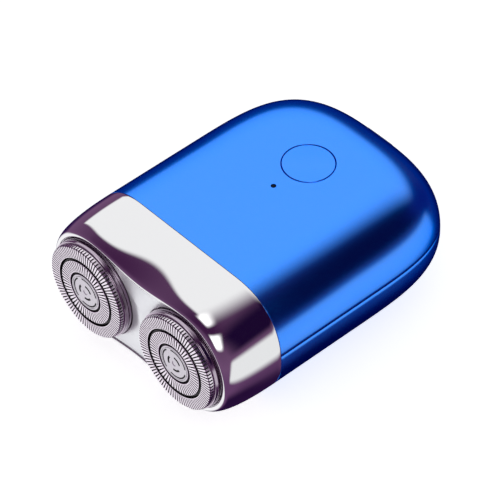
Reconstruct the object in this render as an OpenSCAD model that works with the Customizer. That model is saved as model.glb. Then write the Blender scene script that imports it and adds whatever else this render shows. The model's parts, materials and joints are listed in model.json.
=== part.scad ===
// Pocket electric shaver with two rotary heads, lying on its back.
// +X is the width, +Y points to the tail, +Z to the button side.
// The origin is under the middle of the object, on the face it rests on.
// The heads face -Y and share one axis height, head_z.

/* [Body] */
// Length from the front of the foils to the tail
body_len = 72.3; // [68:0.1:76]
// Width across the sides
body_w = 54.8; // [54:0.2:58]
// Height of the two head axes above the resting face
head_z = 13.8; // [13.6:0.1:14.4]
// Height of the top face above the head axes
top_h = 13.8; // [13.6:0.1:14.4]
// How far the rounding of the long edges reaches in from the sides
edge_r = 13.4; // [12.6:0.1:14]
// Squareness of the upper edge rounding, 2 is an ellipse
edge_pow_top = 2.3; // [2:0.05:2.6]
// Squareness of the lower edge rounding
edge_pow_back = 2.1; // [2:0.05:2.6]
// Squareness of the plan outline across the width
plan_pow_x = 2.9; // [2.6:0.05:3.2]
// Squareness of the plan outline along the length
plan_pow_y = 4; // [3.6:0.1:4.4]
// Wall of the two body shells
wall = 1.6; // [1.4:0.05:1.7]

/* [Head unit] */
// Distance of each head axis from the middle plane
head_x = 13.5; // [13.5:0.1:13.5]
// Length of the head unit, from the foils to the seam
head_len = 16.3; // [15.4:0.1:17]
// Radius of the opening round each head
lobe_r = 11.45; // [11.4:0.05:11.5]
// Depth of the waist between the two heads
waist = 1.25; // [0.8:0.05:1.4]
// Set-back of the rim behind the foils
rim_back = 2.45; // [2.3:0.05:2.6]
// Set-back of the face plate behind the foils
plate_back = 2.75; // [2.7:0.05:2.9]
// Wall of the head shell at the seam
head_wall = 1.2; // [1:0.05:1.3]

/* [Cutting heads] */
// Outer radius of a foil
foil_r = 10.7; // [10.6:0.05:10.72]
// Slots cut through each foil
foil_slots = 36; // [24:4:40]
// Travel of each floating head
float_travel = 1.2; // [0.6:0.1:1.2]
// Blades on each cutter
blade_count = 15; // [9:3:18]

/* [Drive] */
// Gear module
gear_module = 0.5; // [0.5:0.1:0.5]
// Teeth on the motor pinion
pinion_teeth = 14; // [14:2:14]
// Teeth on each head gear
gear_teeth = 40; // [40:2:40]
// Width across the flats of the motor
motor_flat = 15.4; // [15:0.1:15.4]

/* [Button and light] */
// Radius of the power button
button_r = 5.6; // [5.2:0.1:5.8]
// Distance of the button from the foils
button_back = 49.3; // [48:0.1:50]
// Distance of the status light from the foils
light_back = 39.5; // [38:0.1:40.4]
// Travel of the button
button_travel = 0.4; // [0.2:0.05:0.4]

/* [Hidden] */
$fn = 96;
eps = 0.05;

front_y = -body_len / 2;
tail_y = body_len / 2;
seam_y = front_y + head_len;
half_w = body_w / 2;
belly_z = -1.2;                      // height of the widest line, from the head axes
part_z = 1.0;                        // height of the parting line, from the head axes
plan_y = front_y + 37.7;              // where the straight sides turn into the tail
top_z = head_z + top_h;
ceiling_z = top_z - wall;
button_y = front_y + button_back;
light_y = front_y + light_back;

rim_y = front_y + rim_back;
plate_y = front_y + plate_back;
plate_t = 1.05;
lip_w = 0.45;                        // width of the rim's rounded front edge
ledge_w = 0.7;                       // ledge behind the rim that the face plate rests on
taper_pow = 2.2;                     // fullness of the head shell's convex taper
taper_rows = 9;

tail_steps = 32;
edge_steps = 9;
lobe_steps = 16;
waist_steps = 8;

deck_y = seam_y + 0.2;
deck_t = 1.6;
collar_y = seam_y - 2.4;
gear_y = deck_y + deck_t + 0.5;
gear_t = 2.0;
gear_plate_y = gear_y + gear_t + 0.4;
gear_plate_t = 1.4;
motor_y = gear_plate_y + gear_plate_t + 0.1;
motor_len = 24;
motor_r = 10.2;
motor_wall = 0.8;
cap_t = 1.8;
shaft_r = 1.0;
boss_r = 3.0;
running = 0.04;                      // radial clearance of everything that turns in a bore

hub_r = 2.9;
hub_front = seam_y - 0.8;
hub_back = gear_plate_y + 0.9;
spindle_r = 1.7;
spindle_collar_y = seam_y - 5.0;
spindle_tip_y = seam_y - 11.2;
tip_w = 3.6;
tip_t = 1.6;
tip_len = 3.0;
play = 0.12;

foil_t = 0.35;
foil_wall = 0.4;
foil_depth = 4.1;
ring_r = 11.1;
ring_flange_r = 12.0;
badge_r = 4.4;
blade_y = front_y + foil_t + 0.1;
blade_r = 9.9;
hub_disc_y = blade_y + 1.75;

board_z = ceiling_z - 3.7;
board_t = 1.0;
board_top = board_z + board_t;
board_half_w = 11;
board_front = light_y - 5;
board_back = tail_y - 7.2;
switch_h = 1.2;
plunger_h = 0.65;
usb_z = board_z - 1.6;

frame_floor = head_z - motor_flat / 2 - 1.6;
cell_size = [34, 14.4, 9];
cell_y = motor_y + motor_len + cap_t + 1.6;
cell_z = head_z - 5.4;

screw_spots = [for (x = [-4.6, 4.6], z = [-7.7, 7.7]) [x, z]];
magnet_h = 6;                        // height of the magnets above and below the axes

// ---- shape functions -------------------------------------------------------

function mix(a, b, k) = a + (b - a) * k;
function signed_pow(v, e) = sign(v) * pow(abs(v), e);

// Half height of the edge rounding on each side of the widest line, less an inset
function edge_h(up, inset) = (up ? top_h - belly_z : head_z + belly_z) - inset;
function edge_pow(up) = up ? edge_pow_top : edge_pow_back;

// Edge rounding at angle t, -90 on the back and 90 on the top:
// how far it stands out from the flat, and its height from the head axes
function edge_out(t, inset) = (edge_r - inset) * pow(cos(t), 2 / edge_pow(t >= 0));
function edge_up(t, inset) =
    belly_z + edge_h(t >= 0, inset) * signed_pow(sin(t), 2 / edge_pow(t >= 0));
// The angle at which the upper rounding passes height h
function edge_angle(h, inset) =
    asin(pow((h - belly_z) / edge_h(true, inset), edge_pow_top / 2));

// Cross-section of the body, from the right side over the top and back again
function section(inset) = [
    for (side = [1, -1])
        for (k = [0:lobe_steps])
            let (t = side * (-90 + 180 * k / lobe_steps))
            [side * (half_w - edge_r + edge_out(t, inset)), edge_up(t, inset)]
];

// Plan outline of the body at one level, from the right of the seam round the tail
function plan_row(t, inset) =
    let (reach = edge_out(t, inset) - edge_r, a = half_w + reach, b = tail_y + reach - plan_y,
         z = head_z + edge_up(t, inset))
    concat(
        [[a, seam_y, z]],
        [for (k = [0:tail_steps]) let (u = 180 * k / tail_steps)
            [a * signed_pow(cos(u), 2 / plan_pow_x),
             plan_y + b * pow(abs(sin(u)), 2 / plan_pow_y), z]],
        [[-a, seam_y, z]]);

function shell_rows(up, inset) =
    let (rim = edge_angle(part_z, inset), end = up ? 90 : -90)
    [for (j = [0:edge_steps]) plan_row(mix(rim, end, j / edge_steps), inset)];

function reversed(list) = [for (i = [len(list) - 1:-1:0]) list[i]];

// Ring of the head unit: k is 0 at the rim and 1 at the seam, r is the lobe's radius
function head_ring(k, r, inset, y, dip) =
    let (flat_x = mix(head_x, half_w - edge_r, k),
         crown = mix(r, edge_up(90, inset), k), sole = mix(-r, edge_up(-90, inset), k))
    [for (side = [1, -1]) each concat(
        [for (j = [0:lobe_steps]) let (t = side * (-90 + 180 * j / lobe_steps))
            [side * mix(head_x + r * cos(t), half_w - edge_r + edge_out(t, inset), k), y,
             head_z + mix(r * sin(t), edge_up(t, inset), k)]],
        [for (j = [1:waist_steps - 1]) let (q = 1 - 2 * j / waist_steps)
            [side * flat_x * q, y,
             head_z + (side > 0 ? crown : sole) - side * dip * pow(cos(90 * q), 2)]])];

// Convex taper of the head shell and the fading of its waist, s is 0 at the rim
function taper(s) = pow(1 - pow(1 - s, taper_pow), 1 / taper_pow);
function waist_at(s) = waist * pow(1 - s, 2);

function tapered_ring(s, start_y, r, inset) =
    head_ring(taper(s), r, inset, mix(start_y, seam_y - eps, s), waist_at(s));

// ---- shared shapes ---------------------------------------------------------

// A wall between two equal grids of points: open along its first row and across its front
module walled_sheet(outer, inner, up) {
    rows = len(outer) - 1;
    cols = len(outer[0]);
    last = cols - 1;
    half = len(outer) * cols;
    o = function (j, i) j * cols + i;
    n = function (j, i) half + j * cols + i;
    faces = concat(
        [for (j = [0:rows - 1], i = [0:last - 1]) each [
            [o(j, i), o(j + 1, i), o(j + 1, i + 1)], [o(j, i), o(j + 1, i + 1), o(j, i + 1)],
            [n(j, i), n(j + 1, i + 1), n(j + 1, i)], [n(j, i), n(j, i + 1), n(j + 1, i + 1)]]],
        [for (i = [0:last - 1]) [o(0, i), o(0, i + 1), n(0, i + 1), n(0, i)]],
        [for (j = [0:rows - 1]) each [
            [o(j + 1, 0), o(j, 0), n(j, 0), n(j + 1, 0)],
            [o(j, last), o(j + 1, last), n(j + 1, last), n(j, last)]]],
        [[for (i = [last:-1:0]) o(rows, i)], [for (i = [0:last]) n(rows, i)],
         [o(rows, last), o(rows, 0), n(rows, 0), n(rows, last)]]);
    polyhedron(concat([for (row = outer) each row], [for (row = inner) each row]),
               up ? faces : [for (f = faces) reversed(f)]);
}

// A closed band through a list of equal rings, the last joined to the first
module ring_band(rings) {
    cols = len(rings[0]);
    count = len(rings);
    p = function (r, i) (r % count) * cols + i % cols;
    polyhedron([for (ring = rings) each ring],
        [for (r = [0:count - 1], i = [0:cols - 1]) each [
            [p(r, i), p(r, i + 1), p(r + 1, i + 1)], [p(r, i), p(r + 1, i + 1), p(r + 1, i)]]]);
}

// Turns a shape drawn in XY so that it stands at y and is t deep along +Y
module along_y(y, t) {
    translate([0, y + t, head_z]) rotate([90, 0, 0]) linear_extrude(t) children();
}

module section_2d(inset) { polygon(section(inset)); }

module rod(x, z, y, r, length) {
    translate([x, y, head_z + z]) rotate([-90, 0, 0]) cylinder(r = r, h = length);
}

module pipe(x, z, y, r, bore, length) {
    difference() {
        rod(x, z, y, r, length);
        rod(x, z, y - 1, bore, length + 2);
    }
}

module block(low, high) { translate(low) cube(high - low); }

// A wire swept through a few points that run upwards
wire_sides = 8;
module wire(path, r) {
    count = len(path);
    ring = function (k) let (d = path[min(k + 1, count - 1)] - path[max(k - 1, 0)],
                             across = cross(d, [0, 1, 0]) / norm(cross(d, [0, 1, 0])),
                             along = cross(across, d) / norm(d))
        [for (j = [0:wire_sides - 1]) let (a = 360 * j / wire_sides)
            path[k] + r * (cos(a) * across + sin(a) * along)];
    p = function (k, j) k * wire_sides + j % wire_sides;
    polyhedron([for (k = [0:count - 1]) each ring(k)], concat(
        [for (k = [0:count - 2], j = [0:wire_sides - 1]) each [
            [p(k, j), p(k + 1, j), p(k + 1, j + 1)], [p(k, j), p(k + 1, j + 1), p(k, j + 1)]]],
        [[for (j = [0:wire_sides - 1]) j], [for (j = [wire_sides - 1:-1:0]) p(count - 1, j)]]));
}

// Involute gear outline
pressure = 25;
backlash = 0.07;
function inv(a) = tan(a) * 180 / PI - a;
function tooth_half(teeth, r) =
    let (base = gear_module * teeth / 2 * cos(pressure), pitch_r = gear_module * teeth / 2)
    90 / teeth - backlash / 2 / pitch_r * 180 / PI + inv(pressure) - inv(acos(min(1, base / r)));
module gear_2d(teeth, turn) {
    pitch_r = gear_module * teeth / 2;
    root_r = pitch_r - 1.2 * gear_module;
    low_r = max(pitch_r * cos(pressure), root_r) + 0.01;
    tip_r = pitch_r + 0.9 * gear_module;
    flank = [for (k = [0:3]) mix(low_r, tip_r, k / 3)];
    polygon([for (tooth = [0:teeth - 1]) let (mid = turn + 360 * tooth / teeth) each concat(
        [let (a = mid - tooth_half(teeth, low_r)) root_r * [cos(a), sin(a)]],
        [for (r = flank) let (a = mid - tooth_half(teeth, r)) r * [cos(a), sin(a)]],
        [for (r = reversed(flank)) let (a = mid + tooth_half(teeth, r)) r * [cos(a), sin(a)]],
        [let (a = mid + tooth_half(teeth, low_r)) root_r * [cos(a), sin(a)]])]);
}

// ---- body ------------------------------------------------------------------

module top_shell() {
    color("royalblue") difference() {
        walled_sheet(shell_rows(true, 0), shell_rows(true, wall), true);
        translate([0, button_y, ceiling_z - 1]) cylinder(r = button_r + play, h = wall + 2);
        translate([0, light_y, ceiling_z - 1]) cylinder(r = 0.55, h = wall + 2);
        hull() for (x = [-2.9, 2.9])
            translate([x, tail_y - 8, usb_z]) rotate([-90, 0, 0]) cylinder(r = 1.75, h = 10, $fn = 32);
    }
}

module back_shell() {
    color("royalblue") walled_sheet(shell_rows(false, 0), shell_rows(false, wall), false);
}

// Deck that closes the body behind the head unit, with the collar the head unit plugs on to
module front_deck() {
    color("dimgray") difference() {
        union() {
            along_y(deck_y, deck_t) section_2d(wall + eps);
            along_y(collar_y, deck_y - collar_y) difference() {
                section_2d(3);
                section_2d(4.4);
            }
            for (z = [-magnet_h, magnet_h]) rod(0, z, seam_y - 0.6, 3.1, 1.2);
        }
        for (x = [-head_x, head_x]) rod(x, 0, deck_y - 1, hub_r + running, deck_t + 2);
        for (z = [-magnet_h, magnet_h]) rod(0, z, seam_y - 1, 2.45, 1.4);
        for (p = screw_spots) rod(p.x, p[1], deck_y - 1, 0.85, deck_t + 2);
    }
}

module deck_magnets() {
    color("silver") for (z = [-magnet_h, magnet_h]) rod(0, z, seam_y - 1, 2.4, 1.4);
}

module deck_screws() {
    color("lightgray") for (p = screw_spots) difference() {
        union() {
            rod(p.x, p[1], deck_y, 0.8, gear_plate_y + gear_plate_t - deck_y);
            rod(p.x, p[1], deck_y - 0.8, 1.3, 0.8);
        }
        for (w = [[0.3, 1.6], [1.6, 0.3]])
            block([p.x - w.x / 2, deck_y - 1, head_z + p[1] - w.y / 2],
                  [p.x + w.x / 2, deck_y - 0.4, head_z + p[1] + w.y / 2]);
    }
}

module spindle_seals() {
    color("black") for (x = [-head_x, head_x])
        pipe(x, 0, deck_y - 0.65, 4.6, hub_r + running, 0.65);
}

module gear_plate() {
    color("dimgray") difference() {
        along_y(gear_plate_y, gear_plate_t) section_2d(2.4);
        for (x = [-head_x, head_x]) rod(x, 0, gear_plate_y - 1, hub_r + running, gear_plate_t + 2);
        rod(0, 0, gear_plate_y - 1, boss_r + 0.1, gear_plate_t + 2);
        for (p = screw_spots) rod(p.x, p[1], gear_plate_y - 1, 0.81, gear_plate_t + 2);
    }
}

// Tray that carries the motor, the cell and the circuit board
module inner_frame() {
    frame_back = cell_y + cell_size.y + 1;
    color("gainsboro") {
        block([-15, motor_y + 0.2, frame_floor], [15, cell_y - 0.4, frame_floor + 1.5]);
        block([-17, cell_y - 0.4, frame_floor], [17, frame_back - 2.4, frame_floor + 1.5]);
        for (side = [-1, 1]) {
            translate([side * (motor_r + 0.9), 0, 0])
                block([-0.7, motor_y + 0.3, frame_floor + eps], [0.7, cell_y - 1.4, board_z - eps]);
            for (y = [motor_y + 3, cell_y + 4])
                translate([side * 9, y, wall + eps]) cylinder(r = 1.6, h = frame_floor - wall);
        }
        block([-5, cell_y - 1.4, frame_floor + 1.5], [5, cell_y - 0.4, cell_z + 6]);
    }
}

module motor_profile(inset) {
    intersection() {
        circle(r = motor_r - inset);
        square([4 * motor_r, motor_flat - 2 * inset], center = true);
    }
}

module motor_can() {
    color("silver") difference() {
        along_y(motor_y, motor_len) motor_profile(0);
        along_y(motor_y + motor_wall, motor_len) motor_profile(motor_wall);
        rod(0, 0, motor_y - 1, boss_r + 0.01, 3);
    }
}

module motor_end_cap() {
    color("whitesmoke") difference() {
        union() {
            along_y(motor_y + motor_len, cap_t) motor_profile(0.2);
            along_y(motor_y + motor_len - 1.2, 1.2) motor_profile(motor_wall + eps);
        }
        rod(0, 0, motor_y + motor_len - 2, 2.01, cap_t + 3);
    }
}

module motor_bearings() {
    color("goldenrod") {
        pipe(0, 0, motor_y - 0.9, boss_r, shaft_r + running, 0.9 + motor_wall);
        pipe(0, 0, motor_y + motor_len - 1.2, 2, shaft_r + running, 1.2 + cap_t - 0.6);
    }
}

module motor_magnets() {
    color("darkslategray") along_y(motor_y + 3, 15) intersection() {
        difference() {
            circle(r = motor_r - motor_wall - eps);
            circle(r = motor_r - 2.9);
        }
        union() for (side = [-1, 1]) translate([side * 10, 0]) square([12, 11], center = true);
    }
}

module motor_terminals() {
    color("gold") for (side = [-1, 1])
        block([side * 5 - 0.9, motor_y + motor_len + cap_t, head_z + 1],
              [side * 5 + 0.9, motor_y + motor_len + cap_t + 1, head_z + 1.6]);
}

// ---- electronics -------------------------------------------------------------

module circuit_board() {
    color("darkgreen") translate([0, 0, board_z]) linear_extrude(board_t) difference() {
        translate([-board_half_w, board_front]) square([2 * board_half_w, board_back - board_front]);
        for (side = [-1, 1]) translate([side * 8.6, board_back - 2.6]) circle(r = 0.9);
    }
}

module board_parts() {
    color("black") {
        block([-8.2, button_y + 5, board_top], [-4.4, button_y + 8.8, board_top + 0.9]);
        block([4.2, button_y + 5.4, board_top], [7.6, button_y + 8.8, board_top + 1.4]);
        for (x = [-6:2:6])
            block([x - 0.4, button_y - 6.4, board_top], [x + 0.4, button_y - 4.8, board_top + 0.5]);
    }
}

module tact_switch() {
    color("dimgray") difference() {
        block([-2.6, button_y - 2.6, board_top], [2.6, button_y + 2.6, board_top + switch_h]);
        translate([0, button_y, board_top + 0.3]) cylinder(r = 1.6 + eps, h = 3);
    }
}

module status_led() {
    color("white") block([-0.8, light_y - 0.4, board_top], [0.8, light_y + 0.4, board_top + 0.6]);
}

module light_pipe() {
    color("white") translate([0, light_y, board_top + 0.7]) {
        cylinder(r = 0.5, h = top_z - board_top - 0.7);
        cylinder(r = 1.2, h = 1);
    }
}

module usb_profile(inset) {
    hull() for (x = [-2.9, 2.9]) translate([x, 0]) circle(r = 1.6 - inset, $fn = 32);
}

module usb_socket() {
    color("silver") translate([0, 0, usb_z - head_z]) difference() {
        along_y(tail_y - 9.6, 7.3) usb_profile(0);
        along_y(tail_y - 8.8, 8) usb_profile(0.3);
    }
}

module usb_tongue() {
    color("black") block([-2.3, tail_y - 8.8, usb_z - 0.35], [2.3, tail_y - 3.2, usb_z + 0.35]);
}

module battery_cell() {
    color("lightslategray") translate([0, cell_y + cell_size.y / 2, cell_z + cell_size.z / 2])
        intersection() {
            cube(cell_size, center = true);
            rotate([90, 0, 0]) linear_extrude(cell_size.y, center = true)
                offset(r = 2, $fn = 32) square([cell_size.x - 4, cell_size.z - 4], center = true);
        }
}

module battery_tabs() {
    color("silver") for (x = [-12, -8])
        block([x - 1.2, cell_y - 0.9, cell_z + 4], [x + 1.2, cell_y, cell_z + 4.2]);
}

module battery_pad() {
    color("black") block([-14, cell_y + 1, frame_floor + 1.5], [14, cell_y + cell_size.y - 3, cell_z]);
}

module motor_leads() {
    y = motor_y + motor_len + cap_t + 0.5;
    color("firebrick") for (side = [-1, 1])
        wire([[side * 5, y, head_z + 1.6], [side * 5, y, head_z + 3.4],
              [side * 5.4, y + 0.1, head_z + 5.2], [side * 6, y + 0.2, board_z]], 0.45);
}

module battery_leads() {
    color("darkred") for (x = [-12, -8])
        wire([[x, cell_y - 0.5, cell_z + 4.2], [x, cell_y - 0.5, cell_z + 7],
              [x * 0.9, cell_y - 0.6, cell_z + 9.5], [x * 0.85, cell_y - 0.6, board_z]], 0.4);
}

// ---- rotor -----------------------------------------------------------------

module motor_shaft() {
    color("silver") rod(0, 0, gear_y - 0.2, shaft_r, motor_y + motor_len + 0.9 - gear_y);
}

module motor_pinion() {
    color("goldenrod") difference() {
        along_y(gear_y, gear_t) gear_2d(pinion_teeth, 0);
        rod(0, 0, gear_y - 1, shaft_r, gear_t + 2);
    }
}

module motor_armature() {
    color("slategray") difference() {
        along_y(motor_y + 4, 12) difference() {
            circle(r = 6.6);
            for (a = [60:120:300]) rotate(a) translate([4.6, 0]) square([4.4, 1.6], center = true);
        }
        rod(0, 0, motor_y, shaft_r, motor_len);
    }
}

module motor_windings() {
    color("peru") for (y = [motor_y + 2.4, motor_y + 16])
        pipe(0, 0, y, 5.6, shaft_r + 0.6, 1.6);
}

module motor_commutator() {
    color("sandybrown") pipe(0, 0, motor_y + 18, 2, shaft_r, 2.6);
}

// ---- gears and spindles -------------------------------------------------------

module head_gear(side) {
    color("ivory") translate([side * head_x, 0, 0]) difference() {
        union() {
            along_y(gear_y, gear_t) gear_2d(gear_teeth, 180 / gear_teeth);
            rod(0, 0, hub_front, hub_r, hub_back - hub_front);
        }
        rod(0, 0, hub_front - 1, spindle_r + running, hub_back - hub_front + 2);
    }
}

// The spring at its pressed length, between the gear's hub and the spindle's collar
module spindle_spring(side) {
    color("silver")
        pipe(side * head_x, 0, hub_front - 1.9, 2.6, 1.9, 1.85);
}

module spindle(side) {
    x = side * head_x;
    color("white") {
        rod(x, 0, spindle_tip_y + tip_len - 0.2, spindle_r,
            gear_plate_y - float_travel - 0.3 - spindle_tip_y - tip_len);
        rod(x, 0, spindle_collar_y, 2.7, 0.8);
        block([x - tip_w / 2, spindle_tip_y, head_z - tip_t / 2],
              [x + tip_w / 2, spindle_tip_y + tip_len, head_z + tip_t / 2]);
    }
}

// ---- head unit -----------------------------------------------------------------

module head_shell() {
    outer = [for (j = [0:taper_rows]) let (s = pow(j / taper_rows, 1.7))
        tapered_ring(s, rim_y, lobe_r + lip_w, 0)];
    inner = [for (j = [taper_rows:-1:0]) let (s = pow(j / taper_rows, 1.7))
        tapered_ring(s, plate_y, lobe_r + ledge_w, head_wall)];
    lip = [head_ring(0, lobe_r, 0, plate_y, waist), head_ring(0, lobe_r, 0, rim_y + 0.05, waist),
           head_ring(0, lobe_r + lip_w / 2, 0, rim_y - 0.05, waist)];
    color("silver") ring_band(concat(outer, inner, lip));
}

// Frame glued into the back of the head shell, with a bridge for the steel keeper plates
module head_base() {
    color("dimgray") {
        along_y(seam_y - 3.8, 3.6) difference() {
            section_2d(head_wall + 0.5);
            section_2d(2.8);
        }
        along_y(seam_y - 3.8, 1) square([6.6, 2 * head_z - 4], center = true);
    }
}

module keeper_plates() {
    color("silver") for (z = [-magnet_h, magnet_h]) rod(0, z, seam_y - 2.8, 2.6, 1.6);
}

function flat_ring(r, dip) = [for (p = head_ring(0, r, 0, 0, dip)) [p.x, p.z - head_z]];

module face_plate() {
    color("whitesmoke") difference() {
        along_y(plate_y + eps, plate_t) polygon(flat_ring(lobe_r + ledge_w - 0.1, waist + 0.05));
        for (x = [-head_x, head_x]) rod(x, 0, plate_y - 1, ring_r + 0.2, plate_t + 2);
    }
}

// Frame inside the head unit that keeps the foils and cutters in
module cutter_retainer() {
    y = plate_y + 4.2;
    color("dimgray") difference() {
        union() {
            along_y(y, 1.2) polygon(flat_ring(lobe_r + 0.7, waist + 0.1));
            for (x = [-head_x, head_x]) rod(x, 0, y - 1.4, 8.8, 1.5);
        }
        for (x = [-head_x, head_x]) rod(x, 0, y - 3, 7.8, 6);
    }
}

// ---- floating heads --------------------------------------------------------------

module foil(side) {
    x = side * head_x;
    color("lightgray") difference() {
        rod(x, 0, front_y, foil_r, foil_depth);
        rod(x, 0, front_y + foil_t, foil_r - foil_wall, foil_depth);
        rod(x, 0, front_y - 1, badge_r + 0.02, 3);
        for (k = [0:foil_slots - 1])
            translate([x, front_y, head_z]) rotate([0, 360 * k / foil_slots, 0]) {
                translate([8.3, -1, -0.2]) cube([1.7, 3, 0.4]);
                translate([5.4, -1, -0.18]) cube([1.9, 3, 0.36]);
            }
    }
}

module foil_ring(side) {
    x = side * head_x;
    color("silver") difference() {
        union() {
            rod(x, 0, front_y + 1.5, ring_r, foil_depth - 1.5);
            rod(x, 0, plate_y + plate_t + 0.1, ring_flange_r, 0.8);
        }
        rod(x, 0, front_y, foil_r + 0.02, foil_depth + 3);
    }
}

module foil_badge(side) {
    x = side * head_x;
    color("silver") difference() {
        rod(x, 0, front_y, badge_r, 0.9);
        rod(x, 0, front_y - 1, 3.5, 1.15);
    }
}

module blades(side) {
    x = side * head_x;
    color("gainsboro") {
        pipe(x, 0, blade_y + 1.15, blade_r, 5.0, 0.6);
        for (k = [0:blade_count - 1])
            translate([x, blade_y, head_z]) rotate([0, 360 * k / blade_count, 0])
                translate([5.2, 0, -0.2]) cube([4.5, 1.3, 0.4]);
    }
}

module cutter_hub(side) {
    x = side * head_x;
    color("dimgray") difference() {
        union() {
            rod(x, 0, hub_disc_y, 6.4, 0.9);
            rod(x, 0, hub_disc_y - 0.6, 4.9, 0.7);
            rod(x, 0, hub_disc_y, 3.3, spindle_tip_y + tip_len - 0.4 - hub_disc_y);
        }
        block([x - tip_w / 2 - play, spindle_tip_y - 0.15, head_z - tip_t / 2 - play],
              [x + tip_w / 2 + play, spindle_tip_y + tip_len + 1, head_z + tip_t / 2 + play]);
    }
}

// ---- button ------------------------------------------------------------------

module power_button() {
    low = board_top + switch_h + plunger_h + 0.02;
    color("royalblue") translate([0, button_y, low]) {
        cylinder(r = button_r, h = top_z - low);
        cylinder(r = button_r + 0.8, h = ceiling_z - eps - low);
    }
}

module switch_plunger() {
    color("black") translate([0, button_y, board_top + 0.3 + button_travel + eps])
        cylinder(r = 1.6, h = switch_h + plunger_h - 0.3 - button_travel - eps);
}

module button_gasket() {
    color("black") translate([0, button_y, ceiling_z - 0.9]) difference() {
        cylinder(r = button_r + 2.2, h = 0.85);
        translate([0, 0, -1]) cylinder(r = button_r + 1, h = 3);
    }
}

top_shell();
back_shell();
front_deck();
deck_magnets();
deck_screws();
spindle_seals();
gear_plate();
inner_frame();
motor_can();
motor_end_cap();
motor_bearings();
motor_magnets();
motor_terminals();
circuit_board();
board_parts();
tact_switch();
status_led();
light_pipe();
usb_socket();
usb_tongue();
battery_cell();
battery_tabs();
battery_pad();
motor_leads();
battery_leads();
button_gasket();
motor_shaft();
motor_pinion();
motor_armature();
motor_windings();
motor_commutator();
head_gear(-1);  // left_gear
head_gear(1);  // right_gear
spindle_spring(-1);  // left_spring
spindle_spring(1);  // right_spring
spindle(-1);  // left_spindle
spindle(1);  // right_spindle
head_shell();
head_base();
face_plate();
cutter_retainer();
keeper_plates();
foil(-1);  // left_foil
foil(1);  // right_foil
foil_ring(-1);  // left_foil_ring
foil_ring(1);  // right_foil_ring
foil_badge(-1);  // left_foil_badge
foil_badge(1);  // right_foil_badge
blades(-1);  // left_blades
blades(1);  // right_blades
cutter_hub(-1);  // left_cutter_hub
cutter_hub(1);  // right_cutter_hub
power_button();
switch_plunger();
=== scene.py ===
import bmesh
import bpy
import json
from math import asin, atan2, cos, degrees, hypot, pi, radians, sin
from mathutils import Matrix, Vector


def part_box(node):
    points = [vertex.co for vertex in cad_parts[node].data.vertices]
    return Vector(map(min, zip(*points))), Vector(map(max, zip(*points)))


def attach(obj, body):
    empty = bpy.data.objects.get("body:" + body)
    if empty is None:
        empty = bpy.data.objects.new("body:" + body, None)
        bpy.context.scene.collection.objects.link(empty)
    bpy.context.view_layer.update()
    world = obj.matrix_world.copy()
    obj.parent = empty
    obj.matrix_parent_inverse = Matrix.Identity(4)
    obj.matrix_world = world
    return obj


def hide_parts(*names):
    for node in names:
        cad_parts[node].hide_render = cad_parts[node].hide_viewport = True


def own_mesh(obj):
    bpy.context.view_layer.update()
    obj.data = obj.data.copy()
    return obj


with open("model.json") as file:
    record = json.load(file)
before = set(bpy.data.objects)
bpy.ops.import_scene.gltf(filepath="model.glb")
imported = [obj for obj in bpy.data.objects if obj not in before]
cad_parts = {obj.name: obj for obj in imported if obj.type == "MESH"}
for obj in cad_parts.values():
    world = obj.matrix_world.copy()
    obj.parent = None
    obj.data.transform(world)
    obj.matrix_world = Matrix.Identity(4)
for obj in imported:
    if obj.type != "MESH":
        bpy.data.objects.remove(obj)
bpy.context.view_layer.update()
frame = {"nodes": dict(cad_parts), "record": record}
nodes = frame["nodes"]
MM = 0.001


# ---- The studio --------------------------------------------------------------
# A pale table, and a dark plum tent with a big silk overhead, a low white card on
# the right and one in front. The polished finishes show the tent, and the table
# is lit evenly from all sides.
HEAD_Z = (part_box("left_foil")[0].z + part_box("left_foil")[1].z) / 2 / MM
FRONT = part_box("left_foil")[0].y / MM
CAMERA_TURN = radians(47.3)
CAMERA_RISE = radians(44.96)
CAMERA_AWAY = 711.6
CAMERA_LENS = 249.5
LOOK_AT = Vector((0.2, FRONT + 32.82, HEAD_Z))
TABLE_HALF = 3                           # metres
TABLE_DROP = 0.0002
TABLE_GLOW = 0.74


def compass(azimuth, elevation):
    """The unit vector at an azimuth from +Y towards +X, and an elevation."""
    a, e = radians(azimuth), radians(elevation)
    return Vector((sin(a) * cos(e), cos(a) * cos(e), sin(e)))


def aim_camera():
    level = cos(CAMERA_RISE)
    back = Vector((sin(CAMERA_TURN) * level, -cos(CAMERA_TURN) * level, sin(CAMERA_RISE)))
    lens = bpy.data.cameras.new("camera")
    lens.sensor_width = 36
    lens.lens = CAMERA_LENS
    lens.clip_start = 0.01
    camera = bpy.data.objects.new("camera", lens)
    camera.location = (LOOK_AT + back * CAMERA_AWAY) * MM
    camera.rotation_euler = (-back).to_track_quat("-Z", "Y").to_euler()
    bpy.context.collection.objects.link(camera)
    bpy.context.scene.camera = camera


def lay_table():
    bm = bmesh.new()
    bmesh.ops.create_grid(bm, x_segments=1, y_segments=1, size=TABLE_HALF)
    mesh = bpy.data.meshes.new("table")
    bm.to_mesh(mesh)
    bm.free()
    table = bpy.data.objects.new("table", mesh)
    table.location.z = -TABLE_DROP
    bpy.context.collection.objects.link(table)
    table.visible_glossy = False
    paint = bpy.data.materials.new("pale_table")
    paint.use_nodes = True
    shader = paint.node_tree.nodes["Principled BSDF"]
    shader.inputs["Base Color"].default_value = (0.93, 0.93, 0.935, 1)
    shader.inputs["Roughness"].default_value = 0.9
    shader.inputs["Specular IOR Level"].default_value = 0
    shader.inputs["Emission Color"].default_value = (1, 1, 1, 1)
    shader.inputs["Emission Strength"].default_value = TABLE_GLOW
    mesh.materials.append(paint)


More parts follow.
